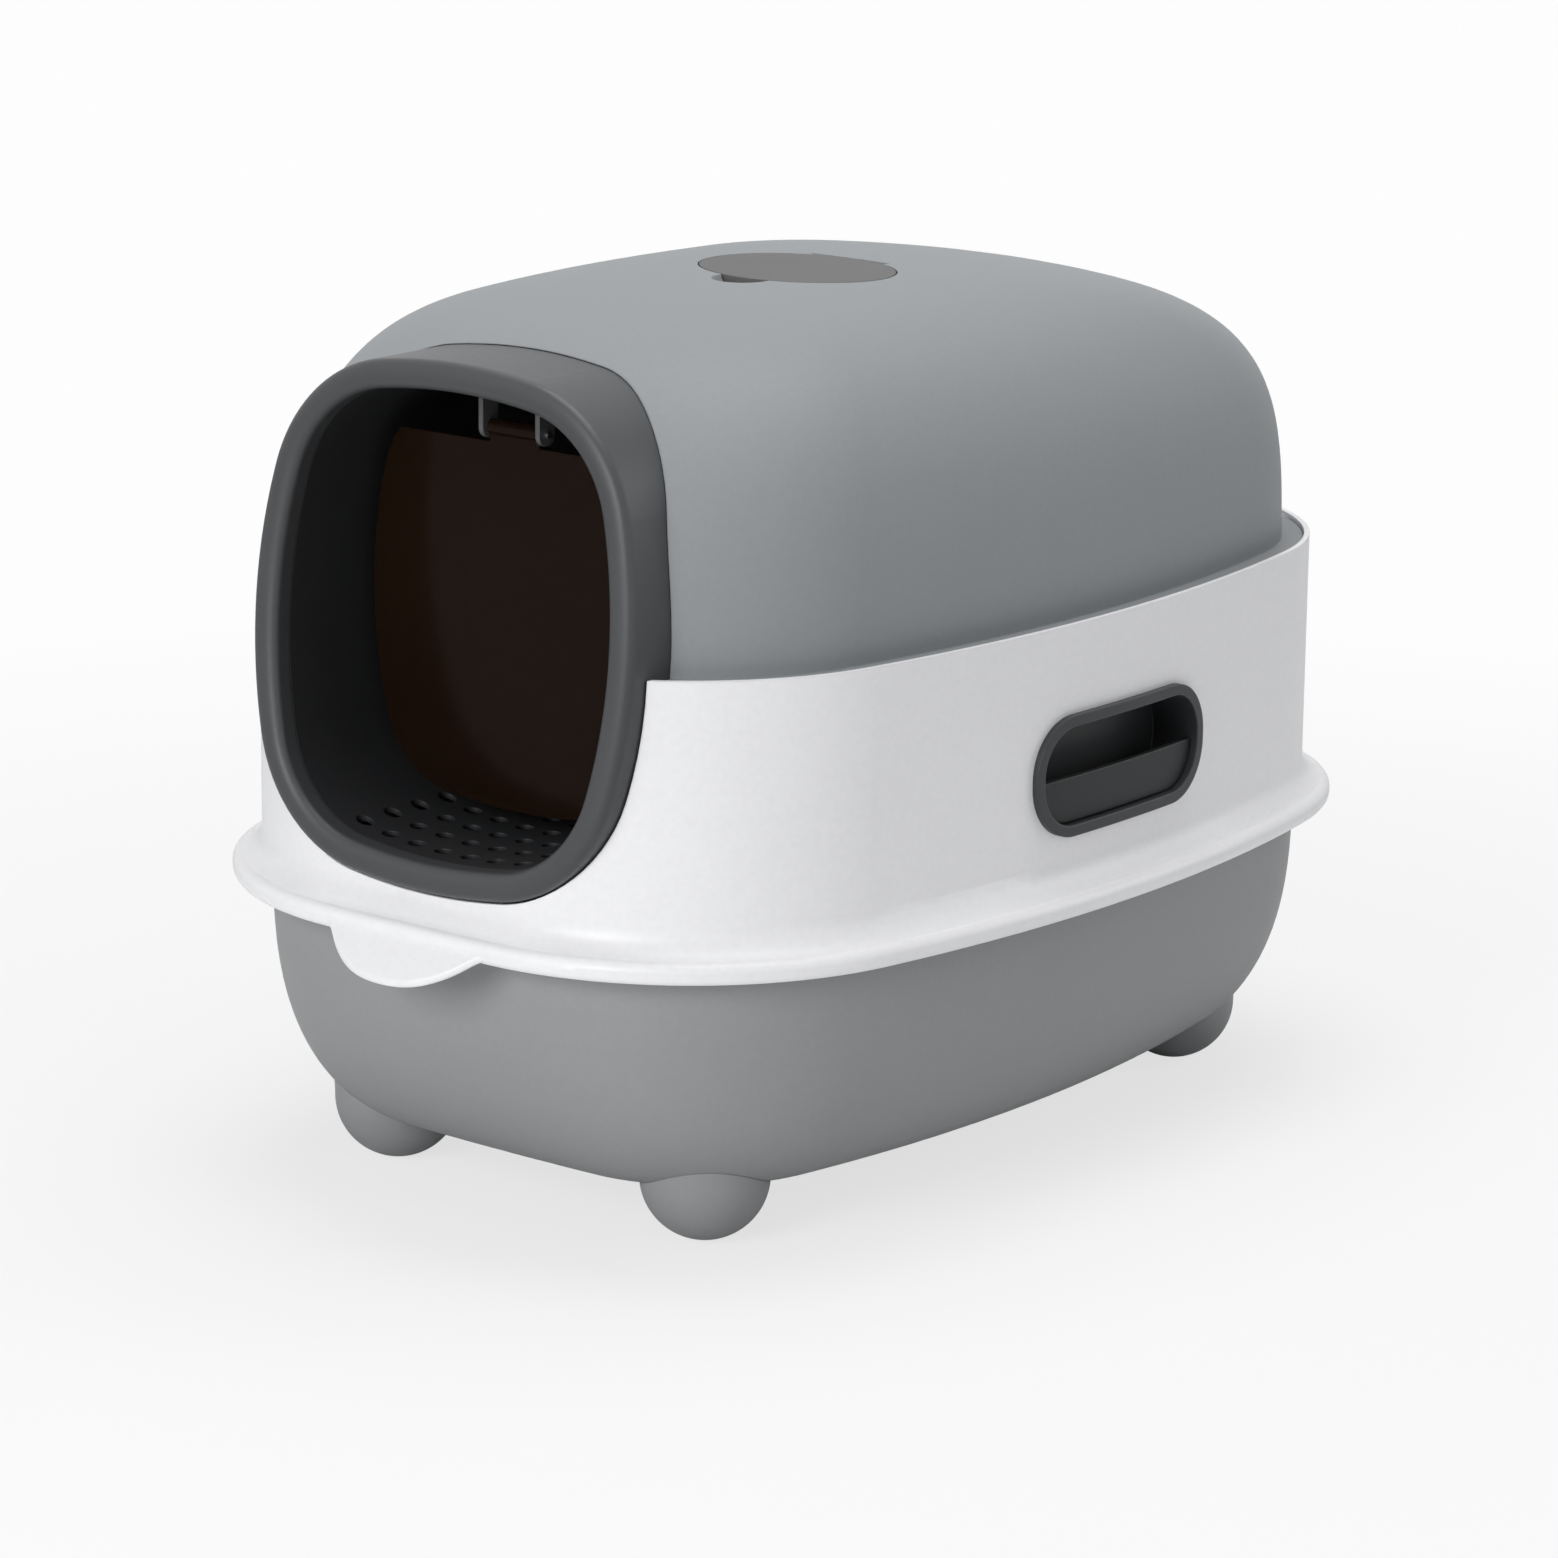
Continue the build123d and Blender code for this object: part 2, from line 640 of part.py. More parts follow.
# flap, brackets and pin
flap_plane = Plane(origin=(0, flap_y, entry_z), x_dir=(1, 0, 0), z_dir=(0, -1, 0))
flap_face = Face(flap_plane.offset(-flap_thick / 2) * bowed_wire(*[size - flap_inset for size in liner_sizes]))
flap = extrude(flap_face, amount=flap_thick, dir=(0, -1, 0))
flap -= block((-far, -far, flap_axis_z - flap_top_gap), (far, far, far))
flap += block((-knuckle_half_w, flap_y - flap_thick / 2, flap_axis_z - 2 * flap_top_gap),
              (knuckle_half_w, flap_y + flap_thick / 2, flap_axis_z))
flap += rod_x(knuckle_r, knuckle_half_w, flap_y, flap_axis_z)
flap -= rod_x(flap_pin_r + run_fit, flap_pin_half, flap_y, flap_axis_z)
flap_pin = rod_x(flap_pin_r, flap_pin_half, flap_y, flap_axis_z)
bracket = Pos(bracket_in_x + bracket_thick / 2, flap_y, flap_axis_z) * Rot(0, 90, 0) * Cylinder(
    bracket_r, bracket_thick)
bracket += block((bracket_in_x, flap_y - bracket_r, flap_axis_z),
                 (bracket_in_x + bracket_thick, flap_y + bracket_r, collar_top))
bracket = (bracket & liner_room) - flap_pin
flap_brackets = Compound(children=[bracket, mirrored(bracket)])

# lid, tray and pad
top_lid = ellipse_prism(lid_half_w, lid_half_l, lid_base_z, far) & dome_outer
top_lid -= rod_x(lid_pin_r + run_fit, lid_pin_half, lid_axis_y, lid_axis_z)
tray_w = tray_hole_w - tray_gap
tray_l = tray_hole_l - tray_gap
tray = ellipse_prism(tray_w, tray_l, tray_lip_z, tray_top_z)
tray -= ellipse_prism(tray_w - tray_wall, tray_l - tray_wall, tray_lip_z + tray_wall, far)
for index in range(slot_count):
    x = (index - (slot_count - 1) / 2) * slot_pitch
    tray -= block((x - slot_w / 2, lid_y - slot_half_w, 0), (x + slot_w / 2, lid_y + slot_half_w, tray_top_z))
pad_cut = tray_wall + pad_gap
filter_pad = ellipse_prism(tray_w - pad_cut, tray_l - pad_cut, tray_lip_z + tray_wall, pad_top_z)

pieces = {
    "base_pan": base_pan,
    **feet,
    "band": band,
    "latch_housing_right": latch_housing,
    "latch_housing_left": mirrored(latch_housing),
    "latch_paddle_right": paddle,
    "latch_paddle_left": mirrored(paddle),
    "latch_pin_right": paddle_pin,
    "latch_pin_left": mirrored(paddle_pin),
    "hood_pin_right": Pos(hinge_x, 0, 0) * hinge_pin,
    "hood_pin_left": Pos(-hinge_x, 0, 0) * hinge_pin,
    "dome": dome,
    "entry_collar": collar,
    "entry_tunnel": tunnel,
    "flap": flap,
    "flap_pin": flap_pin,
    "flap_brackets": flap_brackets,
    "top_lid": top_lid,
    "lid_pin": lid_pin,
    "filter_tray": tray,
    "filter_pad": filter_pad,
}

for name, shape in pieces.items():
    placed = Pos(0, body_shift, 0) * shape
    export_step(placed, "parts/" + name + ".step")
    box = placed.bounding_box()
    print(name, len(placed.solids()), [round(v, 1) for v in (*box.min, *box.max)])
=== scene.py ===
# %% [markdown]
# A hooded litter box is three shells on top of each other: a grey pan on ball feet, a white
# band that sits on the pan's rim, and a grey dome with a dark tunnel for an entry. The CAD
# model gives every shell its true size, so this lesson loads it as a fixed frame and works
# only on the looks: light, finishes, and the one soft piece, the filter pad under the lid.

# %% Load the frame
import bpy
import math
from mathutils import Matrix, Vector


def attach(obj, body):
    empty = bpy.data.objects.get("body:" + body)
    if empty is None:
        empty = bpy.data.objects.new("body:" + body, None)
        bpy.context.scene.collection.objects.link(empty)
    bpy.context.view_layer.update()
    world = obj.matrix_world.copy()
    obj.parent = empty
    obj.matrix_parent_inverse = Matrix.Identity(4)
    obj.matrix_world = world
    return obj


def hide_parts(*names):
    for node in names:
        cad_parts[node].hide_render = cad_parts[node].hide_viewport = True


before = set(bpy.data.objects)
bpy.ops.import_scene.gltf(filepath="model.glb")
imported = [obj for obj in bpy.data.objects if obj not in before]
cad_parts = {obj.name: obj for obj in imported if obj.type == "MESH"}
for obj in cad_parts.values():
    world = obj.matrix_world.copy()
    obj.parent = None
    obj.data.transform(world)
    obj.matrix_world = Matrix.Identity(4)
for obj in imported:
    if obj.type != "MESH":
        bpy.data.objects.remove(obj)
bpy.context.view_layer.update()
scene = bpy.context.scene
print("nodes:", len(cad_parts))

# %% [markdown]
# The camera comes first, because every later choice is judged through it. It stands in front
# of the right corner, a little above the flange, with a long lens, so the box keeps almost
# parallel edges. A camera can be aimed with a constraint or placed by hand; here its three
# axes are written out from two angles and a slight roll, which is exact and easy to read.

# %% Camera
view_azimuth = math.radians(38.54)
view_height = math.radians(14.27)
view_roll = math.radians(0.6)
view_distance = 2.6348
view_target = Vector((0, 0.008, 0.180))
view_slide = -0.00838
view_drop = -0.02106
lens_length = 130.55
sensor_size = 36.0
view_reach = 20

back = Vector((math.sin(view_azimuth) * math.cos(view_height),
               -math.cos(view_azimuth) * math.cos(view_height),
               math.sin(view_height)))
right = Vector((math.cos(view_azimuth), math.sin(view_azimuth), 0))
up = back.cross(right)
eye = view_target + right * view_slide + up * view_drop + back * view_distance
across = right * math.cos(view_roll) + up * math.sin(view_roll)
upward = up * math.cos(view_roll) - right * math.sin(view_roll)

lens = bpy.data.cameras.new("camera")
lens.lens = lens_length
lens.sensor_width = sensor_size
lens.clip_end = view_reach
camera = bpy.data.objects.new("camera", lens)
camera.matrix_world = Matrix((across, upward, back)).transposed().to_4x4()
camera.location = eye
scene.collection.objects.link(camera)
scene.camera = camera
print("camera stands at", [round(v, 3) for v in eye])

# %% [markdown]
# The background, the floor and every plastic are node trees, and a tree is boxes with wires.
# The boxes can be wired one at a time, but the same few kinds come back in each tree. So short
# functions make them, and each input takes either a fixed value or another box's output.

# %% Node helpers


def fill_in(tree, node, inputs):
    """Set or wire several inputs, by label or by number."""
    for label, value in inputs.items():
        if isinstance(value, bpy.types.NodeSocket):
            tree.links.new(value, node.inputs[label])
        else:
            node.inputs[label].default_value = value


def add(tree, kind, inputs=None, operation=None):
    """A new node with its inputs."""
    node = tree.nodes.new(kind)
    if operation:
        node.operation = operation
    fill_in(tree, node, inputs or {})
    return node


def math_node(tree, operation, first, second=0.0):
    return add(tree, "ShaderNodeMath", {0: first, 1: second}, operation).outputs[0]


def noise(tree, vector, scale, detail=3.0, rough=0.5):
    node = add(tree, "ShaderNodeTexNoise",
               {"Vector": vector, "Scale": scale, "Detail": detail, "Roughness": rough})
    return node.outputs["Fac"]


def ramp(tree, value, low, high, out_low=0.0, out_high=1.0):
    """A value carried from one range to another."""
    node = add(tree, "ShaderNodeMapRange", {"Value": value, "From Min": low, "From Max": high,
                                            "To Min": out_low, "To Max": out_high})
    return node.outputs["Result"]


def mix_colour(tree, share, first, second):
    node = tree.nodes.new("ShaderNodeMix")
    node.data_type = "RGBA"
    fill_in(tree, node, {0: share, 6: first, 7: second})
    return node.outputs[2]


def stretched(tree, place, scale, turn=(0.0, 0.0, 0.0)):
    """Coordinates pulled along an axis, for marks that run one way."""
    return add(tree, "ShaderNodeMapping", {"Vector": place, "Scale": scale, "Rotation": turn}).outputs[0]


print("helpers: fill_in, add, math_node, noise, ramp, mix_colour, stretched")

# %% [markdown]
# A catalogue picture is taken before white paper. The world plays that part: to the camera, in
# reflections and through the clear flap it is white, and everywhere else it is only a weak even
# fill. One bright world would do both, but it would wash out the soft shading of the shells.

# %% World
fill_colour = (0.95, 0.97, 1.0, 1)
fill_strength = 0.12
backdrop = (0.985, 0.985, 0.985, 1)

scene.view_settings.view_transform = "Standard"
world = bpy.data.worlds.new("studio")
scene.world = world
world.use_nodes = True
sky = world.node_tree
sky.nodes.clear()
sky_path = add(sky, "ShaderNodeLightPath").outputs
seen = math_node(sky, "MAXIMUM", sky_path["Is Camera Ray"], sky_path["Is Transmission Ray"])
seen = math_node(sky, "MAXIMUM", seen, sky_path["Is Glossy Ray"])
sky_fill = add(sky, "ShaderNodeBackground", {"Color": fill_colour, "Strength": fill_strength})
sky_white = add(sky, "ShaderNodeBackground", {"Color": backdrop, "Strength": 1.0})
sky_mix = add(sky, "ShaderNodeMixShader", {0: seen, 1: sky_fill.outputs[0], 2: sky_white.outputs[0]})
add(sky, "ShaderNodeOutputWorld", {"Surface": sky_mix.outputs[0]})
print("world:", world.name)

# %% [markdown]
# The light itself comes from large soft lamps. The strongest one stands before the entry and a
# second one hangs above, so the front and the top are bright and the long side falls into a
# gentle shade. A weak one on the right keeps that side readable, and one behind draws a thin
# light edge. Round lamps are used because they leave no corners in the highlights.

# %% Lamps
# name, place, size in metres, watts; every lamp looks at the middle of the box
lamps = [
    ("front_lamp", (0.2, -2.9, 1.2), 1.6, 47.0),
    ("top_lamp", (0.0, 0.2, 2.6), 2.0, 39.0),
    ("side_lamp", (2.8, -0.4, 0.9), 1.6, 4.6),
    ("rear_lamp", (1.8, 2.3, 1.3), 1.6, 13.0),
]
lamp_aim = Vector((0, 0, 0.2))
for name, place, size, watts in lamps:
    light = bpy.data.lights.new(name, "AREA")
    light.shape = "DISK"
    light.size = size
    light.energy = watts
    lamp = bpy.data.objects.new(name, light)
    lamp.location = place
    lamp.rotation_euler = (lamp_aim - Vector(place)).to_track_quat("-Z", "Y").to_euler()
    scene.collection.objects.link(lamp)
print("lamps:", len(lamps))

# %% [markdown]
# The floor is a wide pale sheet. To stay as white as the background and still keep the soft
# shadow under the feet, its material shines by itself to the camera and is matt underneath.
# Near the box the matt share is larger, so the shadow shows; far away only the white is left.

# %% Floor
floor_half = 9.0
floor_grey = (0.9, 0.9, 0.9, 1)
shadow_reach = 0.3
white_reach = 1.1
shadow_glow = 0.72

floor_mesh = bpy.data.meshes.new("floor")
corners = [(-1, -1), (1, -1), (1, 1), (-1, 1)]
floor_mesh.from_pydata([(x * floor_half, y * floor_half, 0) for x, y in corners], [], [(0, 1, 2, 3)])
floor = bpy.data.objects.new("floor", floor_mesh)
scene.collection.objects.link(floor)
floor_paint = bpy.data.materials.new("floor_paint")
floor_paint.use_nodes = True
paper = floor_paint.node_tree
paper.nodes.clear()
paper_matt = add(paper, "ShaderNodeBsdfDiffuse", {"Color": floor_grey})
paper_glow = add(paper, "ShaderNodeEmission", {"Color": backdrop})
paper_place = add(paper, "ShaderNodeTexCoord").outputs["Object"]
paper_reach = add(paper, "ShaderNodeVectorMath", {0: paper_place}, "LENGTH").outputs["Value"]
paper_fade = ramp(paper, paper_reach, shadow_reach, white_reach, shadow_glow, 1.0)
paper_seen = add(paper, "ShaderNodeLightPath").outputs["Is Camera Ray"]
paper_share = math_node(paper, "MULTIPLY", paper_seen, paper_fade)
paper_mix = add(paper, "ShaderNodeMixShader",
                {0: paper_share, 1: paper_matt.outputs[0], 2: paper_glow.outputs[0]})
add(paper, "ShaderNodeOutputMaterial", {"Surface": paper_mix.outputs[0]})
floor_mesh.materials.append(floor_paint)
print("floor is", 2 * floor_half, "m wide")

# %% [markdown]
# Injection-moulded plastic is never one flat colour. The mould leaves a fine even grain, the
# melt leaves faint clouds, and hands rub the edges smoother. The edges are also painted paler:
# partly wear, partly a painted highlight along each edge. Two node groups hold these effects, so
# each material can use them with its own values. The first one makes the grain and the clouds
# from noise on Object coordinates, which stay put from every side.

# %% Group: moulded skin
cloud_scale = 9.0
speck_scale = 320.0
speck_depth = 0.012
cloud_gloss_share = 0.6
speck_gloss_share = 0.4


def new_group(name, inputs, outputs):
    """An empty shader group: the tree, its input sockets and its output node."""
    group = bpy.data.node_groups.new(name, "ShaderNodeTree")
    for label, kind, value in inputs:
        item = group.interface.new_socket(name=label, in_out="INPUT", socket_type=kind)
        if value is not None:
            item.default_value = value
    for label, kind in outputs:
        group.interface.new_socket(name=label, in_out="OUTPUT", socket_type=kind)
    return group, group.nodes.new("NodeGroupInput").outputs, group.nodes.new("NodeGroupOutput")


skin, skin_in, skin_out = new_group(
    "moulded_skin",
    [("Vector", "NodeSocketVector", None), ("Colour", "NodeSocketColor", (0.5, 0.5, 0.5, 1)),
     ("Clouds", "NodeSocketFloat", 0.04), ("Grain Size", "NodeSocketFloat", 1400.0),
     ("Smooth", "NodeSocketFloat", 0.38), ("Rough", "NodeSocketFloat", 0.48)],
    [("Colour", "NodeSocketColor"), ("Roughness", "NodeSocketFloat"), ("Height", "NodeSocketFloat")])
clouds = noise(skin, skin_in["Vector"], cloud_scale, 4.0, 0.55)
specks = noise(skin, skin_in["Vector"], speck_scale, 2.0, 0.5)
grain = noise(skin, skin_in["Vector"], skin_in["Grain Size"], 2.0, 0.6)
cloud_depth = math_node(skin, "MULTIPLY", skin_in["Clouds"], -1.0)
cloud_tone = ramp(skin, clouds, 0.3, 0.7, cloud_depth, skin_in["Clouds"])
speck_tone = ramp(skin, specks, 0.35, 0.65, -speck_depth, speck_depth)
tone = math_node(skin, "ADD", math_node(skin, "ADD", cloud_tone, speck_tone), 1.0)
toned = add(skin, "ShaderNodeVectorMath", {0: skin_in["Colour"], "Scale": tone}, "SCALE")
gloss = math_node(skin, "ADD", math_node(skin, "MULTIPLY", clouds, cloud_gloss_share),
                  math_node(skin, "MULTIPLY", specks, speck_gloss_share))
fill_in(skin, skin_out, {
    "Colour": toned.outputs[0],
    "Roughness": ramp(skin, gloss, 0.3, 0.7, skin_in["Smooth"], skin_in["Rough"]),
    "Height": grain,
})
print("group:", skin.name)

# %% [markdown]
# Edges are where plastic shows its age, and where light catches. The Bevel node returns the normal
# that a rounded edge would have; where it leaves the true normal, there is an edge. That mask,
# broken up by noise, lightens the colour a little, partly as wear and partly as a painted
# highlight, and the rounded normal itself softens the hard corners.

# %% Group: edge wear and painted highlight
bevel_samples = 6
edge_starts = 0.995
edge_full = 0.80
wear_highlight_scale = 120.0
wear_highlight_least = 0.25

edge_wear_highlight, edge_wear_highlight_in, edge_wear_highlight_out = new_group(
    "edge_wear_and_highlight",
    [("Vector", "NodeSocketVector", None), ("Width", "NodeSocketFloat", 0.0012),
     ("Strength", "NodeSocketFloat", 0.35)],
    [("Mask", "NodeSocketFloat"), ("Normal", "NodeSocketVector")])
bevel = add(edge_wear_highlight, "ShaderNodeBevel", {"Radius": edge_wear_highlight_in["Width"]})
bevel.samples = bevel_samples
rounded = bevel.outputs["Normal"]
true_normal = add(edge_wear_highlight, "ShaderNodeNewGeometry").outputs["Normal"]
meet = add(edge_wear_highlight, "ShaderNodeVectorMath", {0: rounded, 1: true_normal}, "DOT_PRODUCT").outputs["Value"]
edge = ramp(edge_wear_highlight, meet, edge_starts, edge_full)
wear_highlight_breakup = ramp(edge_wear_highlight, noise(edge_wear_highlight, edge_wear_highlight_in["Vector"], wear_highlight_scale, 4.0, 0.65), 0.35, 0.7, wear_highlight_least, 1.0)
# This mask paints the edges paler: partly wear, partly a painted highlight along each edge.
mask = math_node(edge_wear_highlight, "MULTIPLY", math_node(edge_wear_highlight, "MULTIPLY", edge, wear_highlight_breakup), edge_wear_highlight_in["Strength"])
fill_in(edge_wear_highlight, edge_wear_highlight_out, {"Mask": mask, "Normal": rounded})
print("group:", edge_wear_highlight.name)

# %% [markdown]
# Each plastic of the real box comes out of its own mould, with its own colour, grain and gloss.
# The way it is lit is the same for all, so one function wires the two groups into a Principled
# shader, and a plastic is then only a row of numbers.

# %% Moulded plastic
grain_strength = 0.35
pale_lift = 0.12
pale_gain = 1.15


def new_material(name):
    """A material: itself, its tree, its shader and its Object coordinates."""
    material = bpy.data.materials.new(name)
    material.use_nodes = True
    tree = material.node_tree
    place = add(tree, "ShaderNodeTexCoord").outputs["Object"]
    return material, tree, tree.nodes["Principled BSDF"], place


def add_bump(tree, shader, height, strength, distance, extra=None):
    """Fine relief on a shader's normal."""
    inputs = {"Height": height, "Strength": strength, "Distance": distance, **(extra or {})}
    bump = add(tree, "ShaderNodeBump", inputs)
    tree.links.new(bump.outputs["Normal"], shader.inputs["Normal"])


def add_group(tree, group, inputs):
    node = tree.nodes.new("ShaderNodeGroup")
    node.node_tree = group
    fill_in(tree, node, inputs)
    return node.outputs


def moulded(name, colour, clouds, smooth, rough, grain, edge_width, wear_highlight_share, specular):
    """Plastic with grain, clouds, rounded edges, and edges painted paler as wear and highlight."""
    material, tree, shader, place = new_material(name)
    grain_size, grain_depth = grain
    skin_made = add_group(tree, skin, {"Vector": place, "Colour": (*colour, 1), "Clouds": clouds,
                                       "Grain Size": grain_size, "Smooth": smooth, "Rough": rough})
    edge_wear_highlight_made = add_group(tree, edge_wear_highlight, {"Vector": place, "Width": edge_width, "Strength": wear_highlight_share})
    # The edge colour is paler: partly wear, partly a painted highlight.
    pale = tuple(min(1.0, pale_lift + pale_gain * c) for c in colour) + (1,)
    fill_in(tree, shader, {
        "Base Color": mix_colour(tree, edge_wear_highlight_made["Mask"], skin_made["Colour"], pale),
        "Roughness": skin_made["Roughness"],
        "Specular IOR Level": specular,
    })
    add_bump(tree, shader, skin_made["Height"], grain_strength, grain_depth, {"Normal": edge_wear_highlight_made["Normal"]})
    return material


print("plastics come from moulded, with the groups", skin.name, "and", edge_wear_highlight.name)

# %% [markdown]
# The rows follow the real pieces: satin grey for dome and pan, a shinier white for the band,
# and dark satin for the trim. The trim may well be one plastic, but ring, tunnel, latch and
# paddle show different tones in the photo, so each has its own row.

# %% Moulded finishes
coarse_grain = (1500.0, 0.00012)
fine_grain = (1800.0, 0.00006)

# material, colour, clouds, smooth, rough, grain, edge width, share of edge wear and painted highlight,
# specular
finish_rows = {
    "dome": ("dome_satin", (0.311, 0.325, 0.336), 0.02, 0.54, 0.62, coarse_grain, 0.0012, 0.25, 0.22),
    "pan": ("pan_satin", (0.309, 0.315, 0.321), 0.02, 0.48, 0.56, coarse_grain, 0.0012, 0.25, 0.35),
    "band": ("band_white", (0.93, 0.93, 0.945), 0.008, 0.34, 0.42, fine_grain, 0.0010, 0.20, 0.5),
    "ring": ("ring_dark", (0.059, 0.061, 0.064), 0.04, 0.40, 0.48, coarse_grain, 0.0014, 0.18, 0.4),
    # The tunnel row is darker than the ring: it paints the shade inside the tunnel, and the filter tray wears
    # it too.
    "tunnel": ("tunnel_painted_shade", (0.026, 0.027, 0.029), 0.05, 0.42, 0.52, coarse_grain, 0.0008, 0.15, 0.3),
    "latch": ("latch_dark", (0.034, 0.036, 0.039), 0.04, 0.40, 0.48, coarse_grain, 0.0012, 0.22, 0.4),
    "paddle": ("paddle_dark", (0.021, 0.022, 0.024), 0.04, 0.42, 0.50, coarse_grain, 0.0012, 0.22, 0.3),
    "lid": ("lid_grey", (0.138, 0.138, 0.1375), 0.02, 0.54, 0.62, coarse_grain, 0.0008, 0.20, 0.18),
    "bracket": ("bracket_grey", (0.085, 0.086, 0.088), 0.02, 0.34, 0.42, fine_grain, 0.0006, 0.2, 0.5),
}
finish = {name: moulded(*row) for name, row in finish_rows.items()}
print("finishes:", ", ".join(finish))

# %% [markdown]
# The flap is smoked clear plastic. It lets a little brown light through and hardly mirrors the
# room, so it is a Principled shader with transmission, a low refraction and a dark tint. Faint
# scratches change its roughness and leave a trace of relief.

# %% Smoked flap
smoke_dark = (0.034, 0.016, 0.009, 1)
smoke_light = (0.055, 0.028, 0.016, 1)
smoke_scale = 7.0
scratch_stretch = (900.0, 30.0, 30.0)

finish["flap"], smoke, smoke_shader, smoke_place = new_material("flap_smoked")
smoke_cloud = noise(smoke, smoke_place, smoke_scale)
scratch = noise(smoke, stretched(smoke, smoke_place, scratch_stretch), 1.0, 3.0, 0.6)
fill_in(smoke, smoke_shader, {
    "Base Color": mix_colour(smoke, smoke_cloud, smoke_dark, smoke_light),
    "Roughness": ramp(smoke, scratch, 0.45, 0.75, 0.10, 0.22),
    "Transmission Weight": 0.75,
    "IOR": 1.14,
    "Specular IOR Level": 0.3,
})
add_bump(smoke, smoke_shader, scratch, 0.08, 0.0001)
print("finish: flap")

# %% [markdown]
# The hinge pins are drawn steel wire. Drawing leaves fine lines along the wire, so the noise is
# stretched along the pin's length, and it drives the roughness and a slight bump. Pins that lie
# across the box and pins that lie along it need the stretch on different axes.

# %% Drawn steel
steel_dark = (0.50, 0.50, 0.51, 1)
steel_light = (0.62, 0.62, 0.63, 1)
stain_scale = 260.0
along_wire = 40.0
round_wire = 4000.0


def drawn_steel(name, stretch):
    material, tree, shader, place = new_material(name)
    lines = noise(tree, stretched(tree, place, stretch), 1.0, 3.0, 0.6)
    stain = noise(tree, place, stain_scale)
    fill_in(tree, shader, {
        "Base Color": mix_colour(tree, stain, steel_dark, steel_light),
        "Metallic": 1.0,
        "Roughness": ramp(tree, lines, 0.3, 0.7, 0.22, 0.42),
    })
    add_bump(tree, shader, lines, 0.2, 0.00005)
    return material


finish["pin_x"] = drawn_steel("pin_steel_across", (along_wire, round_wire, round_wire))
finish["pin_y"] = drawn_steel("pin_steel_along", (round_wire, along_wire, round_wire))
print("finishes now:", ", ".join(finish))

# %% [markdown]
# Now the CAD solids put on their finishes. A node keeps its own mesh; only its material slot
# changes, so the solids stay exactly as they were designed.

# %% Dress the solids
wears = {
    "dome": ["dome"],
    "pan": ["base_pan", "foot_front_left", "foot_front_right", "foot_rear_left", "foot_rear_right"],
    "band": ["band"],
    "ring": ["entry_collar"],
    "tunnel": ["entry_tunnel", "filter_tray"],
    "latch": ["latch_housing_right", "latch_housing_left"],
    "paddle": ["latch_paddle_right", "latch_paddle_left"],
    "lid": ["top_lid"],
    "flap": ["flap"],
    "bracket": ["flap_brackets"],
    "pin_x": ["flap_pin", "lid_pin", "hood_pin_right", "hood_pin_left"],
    "pin_y": ["latch_pin_right", "latch_pin_left"],
}
for name, nodes in wears.items():
    for node in nodes:
        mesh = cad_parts[node].data
        mesh.materials.clear()
        mesh.materials.append(finish[name])
print("dressed:", sum(len(nodes) for nodes in wears.values()), "nodes")

# %% [markdown]
# Under the lid lies the filter, a soft pad of black carbon felt in its tray. Felt is fibre that
# barbed needles have punched into a mat: it is fuzzy, slightly crowned, soft at the rim, and
# pitted where the needles went in. Its material is a dark cloth with a little sheen, lint in
# two sizes, and a bump from the same lint.

# %% Felt
fibre_dark = (0.018, 0.018, 0.019, 1)
fibre_light = (0.060, 0.060, 0.062, 1)
lint_stretch = (2600.0, 500.0, 1500.0)
lint_turn = (0.0, 0.0, 0.6)
fluff_scale = 420.0

felt, fibre, fibre_shader, fibre_place = new_material("filter_felt")
lint = noise(fibre, stretched(fibre, fibre_place, lint_stretch, lint_turn), 1.0, 4.0, 0.7)
fluff = noise(fibre, fibre_place, fluff_scale, 4.0, 0.6)
fill_in(fibre, fibre_shader, {
    "Base Color": mix_colour(fibre, ramp(fibre, lint, 0.35, 0.75), fibre_dark, fibre_light),
    "Roughness": ramp(fibre, fluff, 0.3, 0.7, 0.82, 0.97),
    "Specular IOR Level": 0.2,
    "Sheen Weight": 0.35,
    "Sheen Roughness": 0.6,
})
add_bump(fibre, fibre_shader, math_node(fibre, "ADD", lint, fluff), 0.7, 0.0005)
print("felt:", felt.name)

# %% [markdown]
# The pad's shape follows a rule, so Geometry Nodes make it. It starts as a finely divided cube,
# because a cube stays one closed skin with no seam at the rim. The sizes that someone may want
# to change are inputs of the tree, each with its name.

# %% Pad: sizes and cube
pad_sizes = {
    "Half Width": 0.0400, "Half Length": 0.0270, "Middle Y": 0.0040, "Base": 0.3873,
    "Rim Height": 0.0055, "Crown": 0.0014, "Rim Draw": 0.035, "Pit Depth": 0.0007, "Pits": 13.0,
}
pad_cuts = {"Vertices X": 97, "Vertices Y": 73, "Vertices Z": 6}

